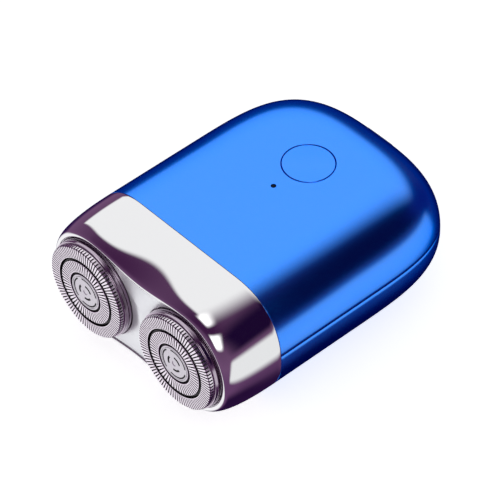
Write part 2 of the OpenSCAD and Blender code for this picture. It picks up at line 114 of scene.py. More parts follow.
def soft_card(tree, sight, azimuth, elevation, wide, high):
    """A mask for a flat lit card. Each reach is ((low, softness), (high, softness)), as tangents."""
    centre = compass(azimuth, elevation)
    across = compass(azimuth + 90, 0)
    up = compass(azimuth, elevation + 90)

    def dot(axis):
        node = tree.nodes.new("ShaderNodeVectorMath")
        node.operation = "DOT_PRODUCT"
        tree.links.new(sight, node.inputs[0])
        node.inputs[1].default_value = axis
        return node.outputs["Value"]

    def math(kind, a, b):
        node = tree.nodes.new("ShaderNodeMath")
        node.operation = kind
        for socket, value in zip(node.inputs, (a, b)):
            if isinstance(value, (int, float)):
                socket.default_value = value
            else:
                tree.links.new(value, socket)
        return node.outputs[0]

    depth = math("MAXIMUM", dot(centre), 0.02)
    front = tree.nodes.new("ShaderNodeMapRange")
    tree.links.new(dot(centre), front.inputs["Value"])
    front.inputs["From Min"].default_value = 0.02
    front.inputs["From Max"].default_value = 0.1
    mask = front.outputs[0]
    for axis, reach in ((across, wide), (up, high)):
        place = math("DIVIDE", dot(axis), depth)
        for (limit, softness), sign in zip(reach, (1, -1)):
            ramp = tree.nodes.new("ShaderNodeMapRange")
            ramp.interpolation_type = "SMOOTHSTEP"
            tree.links.new(place, ramp.inputs["Value"])
            ramp.inputs["From Min"].default_value = limit - sign * softness
            ramp.inputs["From Max"].default_value = limit + sign * softness
            mask = math("MULTIPLY", mask, ramp.outputs[0])
    return mask


# azimuth, elevation, reach across, reach up, colour; the first five are dark, the rest are lit
CARDS = [
    (60, 33, ((-0.8, 0.3), (0.42, 0.2)), ((-0.45, 0.15), (0.45, 0.3)), (0.014, 0.003, 0.036)),
    (14, 6, ((-0.35, 0.2), (0.3, 0.2)), ((-0.3, 0.2), (0.4, 0.2)), (0.03, 0.03, 0.16)),
    (180, 72, ((-1.0, 0.5), (0.6, 0.5)), ((-0.4, 0.3), (0.5, 0.3)), (0.06, 0.014, 0.07)),
    (-47, -45, ((-0.9, 0.4), (0.7, 0.4)), ((-0.7, 0.3), (0.55, 0.2)), (0.025, 0.006, 0.07)),
    (10, -66, ((-0.6, 0.3), (0.6, 0.3)), ((-0.5, 0.2), (0.22, 0.2)), (0.025, 0.006, 0.05)),
    (13.5, 90, ((-4.0, 0.9), (-0.08, 0.38)), ((-1.9, 0.7), (0.02, 0.05)), (1.2, 1.21, 1.22)),
    (57, -19, ((-0.75, 0.12), (0.58, 0.08)), ((-0.34, 0.1), (0.32, 0.1)), (1.1, 1.12, 1.13)),
    (-133, -45, ((-0.62, 0.25), (0.62, 0.25)), ((-0.55, 0.25), (0.55, 0.25)), (1.25, 1.25, 1.28)),
    (12.7, 90, ((-0.25, 0.12), (0.2, 0.12)), ((-0.12, 0.1), (0.1, 0.08)), (2.2, 2.2, 2.2)),
    (114, 44, ((-0.26, 0.1), (0.2, 0.1)), ((-0.28, 0.12), (0.22, 0.1)), (2.2, 2.2, 2.2)),
]
TENT_LOW = (0.17, 0.07, 0.19, 1)
TENT_MIDDLE = (0.21, 0.1, 0.22, 1)
TENT_HIGH = (0.12, 0.05, 0.13, 1)
TABLE_LIGHT = (0.4, 0.4, 0.405, 1)


def hang_tent():
    world = bpy.data.worlds.new("studio")
    bpy.context.scene.world = world
    world.use_nodes = True
    tree = world.node_tree
    tree.nodes.clear()
    sight = tree.nodes.new("ShaderNodeTexCoord").outputs["Generated"]
    split = tree.nodes.new("ShaderNodeSeparateXYZ")
    tree.links.new(sight, split.inputs[0])
    shade = tree.nodes.new("ShaderNodeValToRGB")
    lift = tree.nodes.new("ShaderNodeMapRange")
    tree.links.new(split.outputs["Z"], lift.inputs["Value"])
    lift.inputs["From Min"].default_value = -1
    tree.links.new(lift.outputs[0], shade.inputs[0])
    ramp = shade.color_ramp
    ramp.elements[0].position = 0.2
    ramp.elements[0].color = TENT_LOW
    ramp.elements[1].position = 0.9
    ramp.elements[1].color = TENT_HIGH
    ramp.elements.new(0.42).color = TENT_MIDDLE
    colour = shade.outputs["Color"]
    for azimuth, elevation, wide, high, tone in CARDS:
        over = tree.nodes.new("ShaderNodeMix")
        over.data_type = "RGBA"
        tree.links.new(soft_card(tree, sight, azimuth, elevation, wide, high), over.inputs["Factor"])
        tree.links.new(colour, over.inputs["A"])
        over.inputs["B"].default_value = (*tone, 1)
        colour = over.outputs["Result"]
    tent = tree.nodes.new("ShaderNodeBackground")
    tree.links.new(colour, tent.inputs["Color"])
    fill = tree.nodes.new("ShaderNodeBackground")
    fill.inputs["Color"].default_value = TABLE_LIGHT
    backdrop = tree.nodes.new("ShaderNodeBackground")
    backdrop.inputs["Color"].default_value = (1, 1, 1, 1)
    path = tree.nodes.new("ShaderNodeLightPath")
    shown = fill.outputs[0]
    for seen_by, look in (("Is Glossy Ray", tent), ("Is Camera Ray", backdrop)):
        either = tree.nodes.new("ShaderNodeMixShader")
        tree.links.new(path.outputs[seen_by], either.inputs[0])
        tree.links.new(shown, either.inputs[1])
        tree.links.new(look.outputs[0], either.inputs[2])
        shown = either.outputs[0]
    out = tree.nodes.new("ShaderNodeOutputWorld")
    tree.links.new(shown, out.inputs["Surface"])


aim_camera()
lay_table()
hang_tent()
bpy.context.scene.view_settings.view_transform = "Standard"


# ---- Body shells ---------------------------------------------------------------
# Two moulded ABS shells, vacuum plated and lacquered a clear metallic blue. They meet
# on a fine parting line low on the sides, and the upper one is pierced for the
# button, the light and the charging port.
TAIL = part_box("top_shell")[1].y / MM
HALF_W = (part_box("back_shell")[1].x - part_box("back_shell")[0].x) / 2 / MM
TOP_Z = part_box("top_shell")[1].z / MM
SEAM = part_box("top_shell")[0].y / MM
PART_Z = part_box("top_shell")[0].z / MM
EDGE_R = 13.4
BELLY_Z = HEAD_Z - 1.2
EDGE_POW_TOP = 2.3
EDGE_POW_BACK = 2.1
PLAN_POW_X = 2.9
PLAN_POW_Y = 4
PLAN_Y = FRONT + 37.7
SHELL_WALL = 1.3
PART_RIM = ((0.06, 0.0), (0.02, 0.02), (0.0, 0.06))       # rounding at the parting line: inset, distance
SEAM_RIM = ((0.14, 0.0), (0.04, 0.04), (0.0, 0.14))       # and at the seam with the head unit
TAIL_STEPS = 120
EDGE_STEPS = 32
FLAT_STEPS = 6
FLAKE_SCALE = 9000
BUTTON_Y = sum(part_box("power_button")[i].y for i in (0, 1)) / 2 / MM
BUTTON_R = 5.6
BUTTON_GAP = 0.11
LIGHT_Y = sum(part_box("light_pipe")[i].y for i in (0, 1)) / 2 / MM
LIGHT_HOLE_R = 0.55
PORT_HALF = 2.9                          # from the middle of the port to the axis of each round end
PORT_R = 1.75
PORT_Z = sum(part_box("usb_socket")[i].z for i in (0, 1)) / 2 / MM


def edge_height(up):
    return TOP_Z - BELLY_Z if up else BELLY_Z


def edge_at(t, inset=0.0):
    """The edge rounding at angle t: how far it stands out from the flat, and its height."""
    power = EDGE_POW_TOP if t >= 0 else EDGE_POW_BACK
    out = (EDGE_R - inset) * max(cos(t), 0) ** (2 / power)
    rise = (edge_height(t >= 0) - inset) * abs(sin(t)) ** (2 / power)
    return out, BELLY_Z + (rise if t >= 0 else -rise)


def edge_angle(z):
    """The angle at which the rounding passes a height."""
    up = z >= BELLY_Z
    power = EDGE_POW_TOP if up else EDGE_POW_BACK
    t = asin(min(1, (abs(z - BELLY_Z) / edge_height(up)) ** (power / 2)))
    return t if up else -t


def shell_levels(up):
    """Rows of one shell, from its rim to the middle of its flat: (reach, height)."""
    side = 1 if up else -1
    rows = []
    for inset, away in PART_RIM:
        out, z = edge_at(edge_angle(PART_Z + side * away))
        rows.append((out - EDGE_R - inset, PART_Z + side * away))
    start = edge_angle(PART_Z + side * PART_RIM[-1][1])
    for j in range(1, EDGE_STEPS + 1):
        out, z = edge_at(start + (side * pi / 2 - start) * j / EDGE_STEPS)
        rows.append((out - EDGE_R, z))
    flat = rows[-1][1]
    for j in range(1, FLAT_STEPS + 1):
        rows.append((-EDGE_R - (HALF_W - EDGE_R) * j / FLAT_STEPS, flat))
    return rows


def shell_columns():
    """Stations round the plan outline, as a function of the level's reach."""
    ends = [(SEAM + away, inset) for inset, away in SEAM_RIM]
    stations = [("side", 1, y, inset) for y, inset in ends]
    stations += [("tail", pi * k / TAIL_STEPS, 0, 0) for k in range(TAIL_STEPS + 1)]
    stations += [("side", -1, y, inset) for y, inset in reversed(ends)]
    return stations


def shell_point(station, reach, z):
    kind, value, y, inset = station
    if kind == "side":
        return Vector((value * max(HALF_W + reach - inset, 0), y, z))
    x = abs(cos(value)) ** (2 / PLAN_POW_X) * (HALF_W + reach)
    return Vector((x if value < pi / 2 else -x,
                   PLAN_Y + (TAIL + reach - PLAN_Y) * abs(sin(value)) ** (2 / PLAN_POW_Y), z))


def piece_from(bm, name, smooth_angle=35):
    """Turns a finished bmesh, drawn in millimetres, into an object that shades smoothly."""
    bmesh.ops.scale(bm, vec=(MM, MM, MM), verts=bm.verts)
    mesh = bpy.data.meshes.new(name)
    bm.to_mesh(mesh)
    bm.free()
    mesh.shade_smooth()
    mesh.set_sharp_from_angle(angle=radians(smooth_angle))
    piece = bpy.data.objects.new(name, mesh)
    bpy.context.collection.objects.link(piece)
    return piece


def settle(piece, smooth_angle=35):
    """Applies a piece's modifiers."""
    scene_now = bpy.context.evaluated_depsgraph_get()
    made = bpy.data.meshes.new_from_object(piece.evaluated_get(scene_now))
    piece.modifiers.clear()
    piece.data = made
    made.shade_smooth()
    made.set_sharp_from_angle(angle=radians(smooth_angle))
    return piece


def spin_closed(bm, profile, steps, spine=(0, 1, 0)):
    """Spins a profile once round an axis through the origin, and joins the ends."""
    bmesh.ops.spin(bm, geom=profile, cent=(0, 0, 0), axis=spine, angle=2 * pi, steps=steps, use_merge=True)
    bmesh.ops.remove_doubles(bm, verts=bm.verts, dist=1e-4)


def turned(profile, name, centre, axis="Y", steps=128, closed=True):
    """A turned solid: a profile of (radius, height) points spun about an axis through centre."""
    bm = bmesh.new()
    spine = Vector((0, 1, 0)) if axis == "Y" else Vector((0, 0, 1))
    verts = [bm.verts.new(Vector((r, 0, 0)) + spine * h) for r, h in profile]
    edges = [bm.edges.new(pair) for pair in zip(verts, verts[1:])]
    if closed:
        edges.append(bm.edges.new((verts[-1], verts[0])))
    spin_closed(bm, verts + edges, steps, spine)
    bmesh.ops.translate(bm, vec=centre, verts=bm.verts)
    bmesh.ops.recalc_face_normals(bm, faces=bm.faces)
    return piece_from(bm, name)


def dress(piece, *finishes):
    """Gives a piece its finishes, in the order of its faces' material indices."""
    if len(piece.data.materials):
        piece.data.materials.clear()     # this sets every index to 0 too
    for finish in finishes:
        piece.data.materials.append(finish)


def cut(piece, tools):
    """Cuts tools out of a piece and throws them away."""
    for tool in tools:
        knife = piece.modifiers.new("cut", "BOOLEAN")
        knife.operation = "DIFFERENCE"
        knife.solver = "EXACT"
        knife.object = tool
    settle(piece)
    for tool in tools:
        bpy.data.objects.remove(tool)


def rounded_hole(name, r, centre, axis="Z", lip=0.12, depth=4.0):
    """A drill with a flared neck, so that the hole that it cuts has a rounded lip."""
    neck = [(r + lip * (1 - cos(radians(a))), -lip * (1 - sin(radians(a)))) for a in (0, 22, 45, 67, 90)]
    return turned([(0, -depth)] + [(r, -depth)] + neck + [(r + lip, 1), (0, 1)], name, centre, axis, 96)


def body_shell(name, up):
    levels = shell_levels(up)
    columns = shell_columns()
    across, along = len(columns) - 1, len(levels) - 1
    bm = bmesh.new()
    bmesh.ops.create_grid(bm, x_segments=across, y_segments=along, size=1)
    for v in bm.verts:
        i, j = round((v.co.x + 1) / 2 * across), round((v.co.y + 1) / 2 * along)
        v.co = shell_point(columns[i], *levels[j])
    bmesh.ops.remove_doubles(bm, verts=bm.verts, dist=0.002)
    bmesh.ops.dissolve_degenerate(bm, edges=bm.edges, dist=0.001)
    if not up:
        bmesh.ops.reverse_faces(bm, faces=bm.faces)
    shell = piece_from(bm, name)
    wall = shell.modifiers.new("wall", "SOLIDIFY")
    wall.thickness = SHELL_WALL * MM
    wall.offset = -1
    settle(shell)
    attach(shell, "housing")
    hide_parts(name)
    return shell


def value_node(tree, kind, **settings):
    node = tree.nodes.new(kind)
    for key, value in settings.items():
        if hasattr(node, key):
            setattr(node, key, value)
        else:
            node.inputs[key.replace("_", " ")].default_value = value
    return node


def surface_group(name, sockets_in, sockets_out):
    """An empty shader group with named float or colour sockets, and its two end nodes."""
    group = bpy.data.node_groups.new(name, "ShaderNodeTree")
    for title, value in sockets_in:
        socket = group.interface.new_socket(title, in_out="INPUT", socket_type="NodeSocketFloat")
        socket.default_value = value
    for title, kind in sockets_out:
        group.interface.new_socket(title, in_out="OUTPUT", socket_type=kind)
    return group, group.nodes.new("NodeGroupInput"), group.nodes.new("NodeGroupOutput")


def handling_group():
    """Fine wipe marks and a few faint smears: a roughness that varies, and a very low bump."""
    group, start, end = surface_group(
        "handling", [("Roughness", 0.1), ("Smears", 0.3), ("Scale", 300.0)],
        [("Roughness", "NodeSocketFloat"), ("Height", "NodeSocketFloat")])
    link = group.links.new
    place = group.nodes.new("ShaderNodeTexCoord").outputs["Object"]
    haze = value_node(group, "ShaderNodeTexNoise", Detail=5.0, Roughness=0.6)
    link(place, haze.inputs["Vector"])
    link(start.outputs["Scale"], haze.inputs["Scale"])
    stretch = value_node(group, "ShaderNodeMapping", Rotation=(0.3, 0.5, 0.9), Scale=(9000, 500, 900))
    link(place, stretch.inputs["Vector"])
    wipe = value_node(group, "ShaderNodeTexNoise", Scale=1.0, Detail=2.0)
    link(stretch.outputs[0], wipe.inputs["Vector"])
    both = value_node(group, "ShaderNodeMath", operation="MULTIPLY")
    link(haze.outputs["Fac"], both.inputs[0])
    link(wipe.outputs["Fac"], both.inputs[1])
    gain = value_node(group, "ShaderNodeMath", operation="MULTIPLY_ADD")
    link(both.outputs[0], gain.inputs[0])
    link(start.outputs["Smears"], gain.inputs[1])
    gain.inputs[2].default_value = 1.0
    rough = value_node(group, "ShaderNodeMath", operation="MULTIPLY")
    link(start.outputs["Roughness"], rough.inputs[0])
    link(gain.outputs[0], rough.inputs[1])
    link(rough.outputs[0], end.inputs["Roughness"])
    link(wipe.outputs["Fac"], end.inputs["Height"])
    return group


HANDLING = handling_group()


def new_finish(name, colour, metallic=0.0, roughness=0.4, **sockets):
    """A material with a Principled shader; sockets sets its other inputs."""
    finish = bpy.data.materials.new(name)
    finish.use_nodes = True
    shader = finish.node_tree.nodes["Principled BSDF"]
    shader.inputs["Base Color"].default_value = (*colour, 1)
    shader.inputs["Metallic"].default_value = metallic
    shader.inputs["Roughness"].default_value = roughness
    for title, value in sockets.items():
        shader.inputs[title.replace("_", " ")].default_value = value
    finish.diffuse_color = (*colour, 1)
    return finish, finish.node_tree, shader


def add_handling(tree, shader, roughness, smears=0.3, scale=300.0):
    marks = tree.nodes.new("ShaderNodeGroup")
    marks.node_tree = HANDLING
    marks.inputs["Roughness"].default_value = roughness
    marks.inputs["Smears"].default_value = smears
    marks.inputs["Scale"].default_value = scale
    tree.links.new(marks.outputs["Roughness"], shader.inputs["Roughness"])
    return marks


def blue_lacquer():
    finish, tree, shader = new_finish("blue_lacquer", (0.002, 0.232, 0.97), 1.0, 0.21, Coat_Roughness=0.03,
                                      Coat_IOR=1.56, Specular_Tint=(0.15, 0.4, 1, 1))
    add_handling(tree, shader, 0.21, 0.4, 220)
    place = tree.nodes.new("ShaderNodeTexCoord").outputs["Object"]
    flake = value_node(tree, "ShaderNodeTexVoronoi", Scale=FLAKE_SCALE)
    tree.links.new(place, flake.inputs["Vector"])
    tone = value_node(tree, "ShaderNodeMix", data_type="RGBA")
    tone.inputs["A"].default_value = (0.0015, 0.22, 0.94, 1)
    tone.inputs["B"].default_value = (0.0025, 0.243, 1.0, 1)
    level = tree.nodes.new("ShaderNodeSeparateColor")
    tree.links.new(flake.outputs["Color"], level.inputs[0])
    tree.links.new(level.outputs[0], tone.inputs["Factor"])
    tree.links.new(tone.outputs["Result"], shader.inputs["Base Color"])
    slant = tree.nodes.new("ShaderNodeLayerWeight")
    coat = value_node(tree, "ShaderNodeMapRange", From_Min=0.3, From_Max=0.6, To_Min=1.0, To_Max=0.0)
    tree.links.new(slant.outputs["Facing"], coat.inputs["Value"])
    tree.links.new(coat.outputs[0], shader.inputs["Coat Weight"])
    return finish


def port_cutter():
    """A round pin whose right half is drawn out sideways, which makes it an oblong."""
    profile = [(0, -8), (PORT_R, -8), (PORT_R, 3), (0, 3)]
    pin = turned(profile, "port_end", (-PORT_HALF, TAIL - 4, PORT_Z), steps=48)
    bm = bmesh.new()
    bm.from_mesh(pin.data)
    bmesh.ops.scale(bm, vec=(1 / MM, 1 / MM, 1 / MM), verts=bm.verts)
    right = [v for v in bm.verts if v.co.x > -PORT_HALF + 1e-3]
    bmesh.ops.translate(bm, vec=(2 * PORT_HALF, 0, 0), verts=right)
    bpy.data.objects.remove(pin)
    return piece_from(bm, "port_cutter")


BLUE = blue_lacquer()
top_shell = body_shell("top_shell", True)
back_shell = body_shell("back_shell", False)
cut(top_shell, [
    rounded_hole("button_drill", BUTTON_R + BUTTON_GAP, (0, BUTTON_Y, TOP_Z)),
    rounded_hole("light_drill", LIGHT_HOLE_R, (0, LIGHT_Y, TOP_Z), lip=0.05),
    port_cutter(),
])
for shell in (top_shell, back_shell):
    dress(shell, BLUE)


# ---- Head shell ----------------------------------------------------------------
# The cap of the head unit is a moulded shell with a mirror chrome plating. It narrows
# from the body's section to a rim that hugs the two heads, with a waist between them.
HEAD_X = 13.5
LOBE_R = 11.45
LIP_W = 0.45
LEDGE_W = 0.7
WAIST = 1.25
RIM = FRONT + 2.45
PLATE = FRONT + 2.75
TAPER_POW = 2.2
HEAD_WALL = 1.2
BACK_EDGE = SEAM - 0.05
ARC_STEPS = 72
WAIST_STEPS = 24
AROUND = 2 * (ARC_STEPS + WAIST_STEPS)
TAPER_STEPS = 30
INNER_STEPS = 9
LIP = ((0.3, -0.02), (0.17, 0.0), (0.07, 0.04), (0.01, 0.1), (0, 0.16))    # outwards, and back from the rim
LIP_END = TAPER_STEPS + 8                # the row where the polished lip turns into the bare inner wall


def taper(s):
    return (1 - (1 - s) ** TAPER_POW) ** (1 / TAPER_POW)


def waist_at(s):
    return WAIST * (1 - s) ** 2


def mix(a, b, k):
    return a + (b - a) * k


def head_point(i, k, r, inset, y, dip):
    """Point i of a ring of the head unit, from the bottom right counter-clockwise seen from the front."""
    half = ARC_STEPS + WAIST_STEPS
    side = 1 if i < half else -1
    i = i % half
    flat = HALF_W - EDGE_R
    if i <= ARC_STEPS:
        t = side * (-pi / 2 + pi * i / ARC_STEPS)
        out, z = edge_at(t, inset)
        return Vector((side * mix(HEAD_X + r * cos(t), flat + out, k), y, mix(HEAD_Z + r * sin(t), z, k)))
    q = 1 - 2 * (i - ARC_STEPS) / WAIST_STEPS
    level = mix(HEAD_Z + side * r, edge_at(side * pi / 2, inset)[1], k)
    return Vector((side * mix(HEAD_X, flat, k) * q, y, level - side * dip * cos(q * pi / 2) ** 2))


def head_rows():
    """The wall of the head shell in section, from the seam's inner edge over the rim and back."""
    rows = [(1, 0, HEAD_WALL, BACK_EDGE, 0), (1, 0, 0.16, BACK_EDGE, 0), (1, 0, 0.04, BACK_EDGE - 0.05, 0)]
    for j in range(TAPER_STEPS, -1, -1):
        s = (j / TAPER_STEPS) ** 1.7 * 0.985
        rows.append((taper(s), LOBE_R + LIP_W, 0, mix(RIM, BACK_EDGE, s), waist_at(s)))
    for out, back in LIP:
        rows.append((0, LOBE_R + out, 0, RIM + back, WAIST))
    rows.append((0, LOBE_R, 0, PLATE - 0.05, WAIST))
    for j in range(INNER_STEPS):
        s = (j / INNER_STEPS) ** 1.7
        rows.append((taper(s), LOBE_R + LEDGE_W, HEAD_WALL, mix(PLATE, BACK_EDGE, s), waist_at(s)))
    return rows


def mirror_chrome():
    finish, tree, shader = new_finish("mirror_chrome", (0.7, 0.695, 0.7), 1.0, 0.05)
    add_handling(tree, shader, 0.045, 0.9, 260)
    return finish


def satin_silver():
    finish, tree, shader = new_finish("satin_silver", (0.84, 0.85, 0.87), 0.55, 0.33)
    marks = add_handling(tree, shader, 0.3, 0.4, 500)
    bump = value_node(tree, "ShaderNodeBump", Strength=0.05, Distance=0.00002)
    tree.links.new(marks.outputs["Height"], bump.inputs["Height"])
    tree.links.new(bump.outputs[0], shader.inputs["Normal"])
    return finish


def head_shell_piece():
    rows = head_rows()
    along = len(rows)
    bm = bmesh.new()
    bmesh.ops.create_grid(bm, x_segments=AROUND, y_segments=along, size=1)
    for f in bm.faces:
        row = (f.calc_center_median().y + 1) / 2 * along
        f.material_index = int(row > LIP_END)
    for v in bm.verts:
        i, j = round((v.co.x + 1) / 2 * AROUND), round((v.co.y + 1) / 2 * along)
        v.co = head_point(i % AROUND, *rows[j % along])
    bmesh.ops.remove_doubles(bm, verts=bm.verts, dist=0.001)
    bmesh.ops.recalc_face_normals(bm, faces=bm.faces)
    return piece_from(bm, "head_shell", 50)


CHROME = mirror_chrome()
SATIN = satin_silver()
head_shell = head_shell_piece()
dress(head_shell, CHROME, SATIN)
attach(head_shell, "head_unit")
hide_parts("head_shell")


# ---- Face plate ------------------------------------------------------------------
# A bright satin plate sits inside the rim and shows between the heads. It is a
# pressed sheet with its edges broken and two clear holes for the foil rings.
RING_R = 11.1
PLATE_T = 1.05
PLATE_R = LOBE_R + LEDGE_W - 0.12
PLATE_FRONT = PLATE + 0.05
PLATE_DIP = WAIST + 0.05
HOLE_R = RING_R + 0.2
PLATE_HOLE = [(0, -1), (HOLE_R + 0.12, -1), (HOLE_R + 0.12, 0.05), (HOLE_R + 0.02, 0.12), (HOLE_R, 0.2),
              (HOLE_R, 2), (0, 2)]


def new_verts(made):
    """The vertices in what an operator made."""
    return [g for g in made["geom"] if isinstance(g, bmesh.types.BMVert)]


def face_plate_piece():
    bm = bmesh.new()
    outline = [head_point(i, 0, PLATE_R, 0, PLATE_FRONT, PLATE_DIP) for i in range(AROUND)]
    sheet = bm.faces.new([bm.verts.new(p) for p in outline])
    raised = bmesh.ops.extrude_face_region(bm, geom=[sheet])
    bmesh.ops.translate(bm, vec=(0, PLATE_T, 0), verts=new_verts(raised))
    bmesh.ops.remove_doubles(bm, verts=bm.verts, dist=0.001)
    bmesh.ops.recalc_face_normals(bm, faces=bm.faces)
    plate = piece_from(bm, "face_plate")
    centres = [(side * HEAD_X, PLATE, HEAD_Z) for side in (-1, 1)]
    cut(plate, [turned(PLATE_HOLE, "plate_drill", centre, steps=160) for centre in centres])
    return plate


face_plate = face_plate_piece()
dress(face_plate, SATIN)
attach(face_plate, "head_unit")
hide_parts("face_plate")


# ---- Foils -----------------------------------------------------------------------
# Each foil is a pressed stainless cup. Its rim is cut by fine slots that run on over
# the edge, and an inner band by radial slots, with a pressed groove between. The groove,
# the cup under the badge and a lining behind the rim's slots are painted dark as shade.
FOIL_R = 10.7
FOIL_T = 0.16
RIM_SLOTS = 90
BAND_SLOTS = 56
GROOVE_IN = 0.68 * FOIL_R
GROOVE_OUT = 0.75 * FOIL_R
BAND_IN = 4.85
BAND_OUT = GROOVE_IN - 0.1
BADGE_SEAT = 4.64                        # inside this radius the cup is painted dark as shade, under the badge
BAR_SHARE = 0.44
GROOVE_DEPTH = 0.42
# profiles as (radius, distance back from the front)
RIM_PROFILE = [(GROOVE_OUT - 0.35, GROOVE_DEPTH), (GROOVE_OUT - 0.05, GROOVE_DEPTH), (GROOVE_OUT, 0.05),
               (GROOVE_OUT + 0.12, 0), (9.2, 0), (FOIL_R - 0.55, 0), (FOIL_R - 0.18, 0.05),
               (FOIL_R - 0.04, 0.18), (FOIL_R, 0.4), (FOIL_R, 0.95), (FOIL_R, 1.1), (FOIL_R, 4.0)]
BAND_PROFILE = [(4.1, 0.75), (4.6, 0.75), (4.66, 0.06), (4.72, 0), (BAND_IN, 0), (6.2, 0), (BAND_OUT, 0),
                (GROOVE_IN, 0.05), (GROOVE_IN + 0.05, GROOVE_DEPTH), (GROOVE_OUT - 0.05, GROOVE_DEPTH)]
PAINTED_SHADE_LINING = [(9.98, 0.1), (10.3, 0.12), (10.5, 0.2), (10.6, 0.38), (10.6, 3.9)]    # painted shade: a dark sheet behind the rim's slots, where there is no real piece
PAINTED_SHADE_LINING_STEPS = 96


def slotted_ring(profile, slots, open_spans):
    """A band spun with two steps to a slot, with the faces of its slots taken out."""
    bm = bmesh.new()
    verts = [bm.verts.new((r, y, 0)) for r, y in profile]
    edges = [bm.edges.new(pair) for pair in zip(verts, verts[1:])]
    spin_closed(bm, verts + edges, 2 * slots)
    step = pi / slots
    shift = (BAR_SHARE - 0.5) * step
    for v in bm.verts:
        turn = round(atan2(v.co.z, v.co.x) / step) % 2
        v.co = Matrix.Rotation(shift if turn else -shift, 3, "Y") @ v.co
    gone = []
    for f in bm.faces:
        middle = f.calc_center_median()
        turn = int((atan2(middle.z, middle.x) % (2 * pi)) / step) % 2
        r = hypot(middle.x, middle.z)
        if turn and any(a < r < b and low < middle.y < high for a, b, low, high in open_spans):
            gone.append(f)
    bmesh.ops.delete(bm, geom=gone, context="FACES")
    return bm


def foil_piece(side):
    bm = slotted_ring(RIM_PROFILE, RIM_SLOTS, [(GROOVE_OUT + 0.1, FOIL_R + 1, -1, 0.9)])
    inner = slotted_ring(BAND_PROFILE, BAND_SLOTS, [(BAND_IN, BAND_OUT, -1, 0.02)])
    loose = bpy.data.meshes.new("band")
    inner.to_mesh(loose)
    inner.free()
    bm.from_mesh(loose)
    bpy.data.meshes.remove(loose)
    steel = set(bm.faces)
    # painted shade: a dark lining spun behind the rim's slots, where the real foil has only shadow
    shade_lining = [bm.verts.new((r, y, 0)) for r, y in PAINTED_SHADE_LINING]
    edges = [bm.edges.new(pair) for pair in zip(shade_lining, shade_lining[1:])]
    bmesh.ops.spin(bm, geom=shade_lining + edges, cent=(0, 0, 0), axis=(0, 1, 0), angle=2 * pi, steps=PAINTED_SHADE_LINING_STEPS,
                   use_merge=True)
    bm.normal_update()
    inward = []
    for f in bm.faces:
        outwards = f.calc_center_median() * Vector((1, 0, 1))
        if f.normal.y > 0.01 or f.normal.dot(outwards) < -9:
            inward.append(f)
    bmesh.ops.reverse_faces(bm, faces=inward)
    for f in bm.faces:
        # painted shade: the groove, the cup under the badge and the lining take the dark finish
        middle = f.calc_center_median()
        r = hypot(middle.x, middle.z)
        in_groove = GROOVE_IN - 0.05 < r < GROOVE_OUT + 0.02
        f.material_index = int(in_groove or r < BADGE_SEAT or f not in steel)
    bmesh.ops.translate(bm, vec=(side * HEAD_X, FRONT, HEAD_Z), verts=bm.verts)
    foil = piece_from(bm, "left_foil" if side < 0 else "right_foil", 30)
    sheet = foil.modifiers.new("sheet", "SOLIDIFY")
    sheet.thickness = FOIL_T * MM
    sheet.offset = -1
    # painted shade: the sheet's inner side and cut edges take the dark finish too
    sheet.material_offset = 1
    sheet.material_offset_rim = 1
    return foil


def foil_steel():
    """Lapped steel: fine rings round each foil from the lapping wheel."""
    finish, tree, shader = new_finish("foil_steel", (0.62, 0.585, 0.62), 1.0, 0.3)
    place = tree.nodes.new("ShaderNodeTexCoord").outputs["Object"]
    split = value_node(tree, "ShaderNodeSeparateXYZ")
    tree.links.new(place, split.inputs[0])
    aside = value_node(tree, "ShaderNodeMath", operation="ABSOLUTE")
    tree.links.new(split.outputs["X"], aside.inputs[0])
    offset = value_node(tree, "ShaderNodeMath", operation="SUBTRACT")
    tree.links.new(aside.outputs[0], offset.inputs[0])
    offset.inputs[1].default_value = HEAD_X * MM
    height = value_node(tree, "ShaderNodeMath", operation="SUBTRACT")
    tree.links.new(split.outputs["Z"], height.inputs[0])
    height.inputs[1].default_value = HEAD_Z * MM
    join = value_node(tree, "ShaderNodeCombineXYZ")
    tree.links.new(offset.outputs[0], join.inputs["X"])
    tree.links.new(height.outputs[0], join.inputs["Y"])
    length = value_node(tree, "ShaderNodeVectorMath", operation="LENGTH")
    tree.links.new(join.outputs[0], length.inputs[0])
    rings = value_node(tree, "ShaderNodeTexNoise", noise_dimensions="1D", Scale=9000.0, Detail=3.0)
    tree.links.new(length.outputs["Value"], rings.inputs["W"])
    rough = value_node(tree, "ShaderNodeMapRange", To_Min=0.16, To_Max=0.34)
    tree.links.new(rings.outputs["Fac"], rough.inputs["Value"])
    tree.links.new(rough.outputs[0], shader.inputs["Roughness"])
    tone = value_node(tree, "ShaderNodeMix", data_type="RGBA")
    tone.inputs["A"].default_value = (0.62, 0.54, 0.62, 1)
    tone.inputs["B"].default_value = (0.86, 0.8, 0.86, 1)
    tree.links.new(rings.outputs["Fac"], tone.inputs["Factor"])
    tree.links.new(tone.outputs["Result"], shader.inputs["Base Color"])
    bump = value_node(tree, "ShaderNodeBump", Strength=0.15, Distance=0.00001)
    tree.links.new(rings.outputs["Fac"], bump.inputs["Height"])
    tree.links.new(bump.outputs[0], shader.inputs["Normal"])
    return finish


FOIL_STEEL = foil_steel()
# painted shade: a near-black finish for the foils' grooves, lining and inner side, and the badges' sunk marks
FOIL_PAINTED_SHADE = new_finish("foil_painted_shade", (0.012, 0.009, 0.014), 0.0, 0.6)[0]
for side, hand in ((-1, "left"), (1, "right")):
    foil = foil_piece(side)
    dress(foil, FOIL_STEEL, FOIL_PAINTED_SHADE)
    settle(foil, 30)
    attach(foil, hand + "_head")
    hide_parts(hand + "_foil")


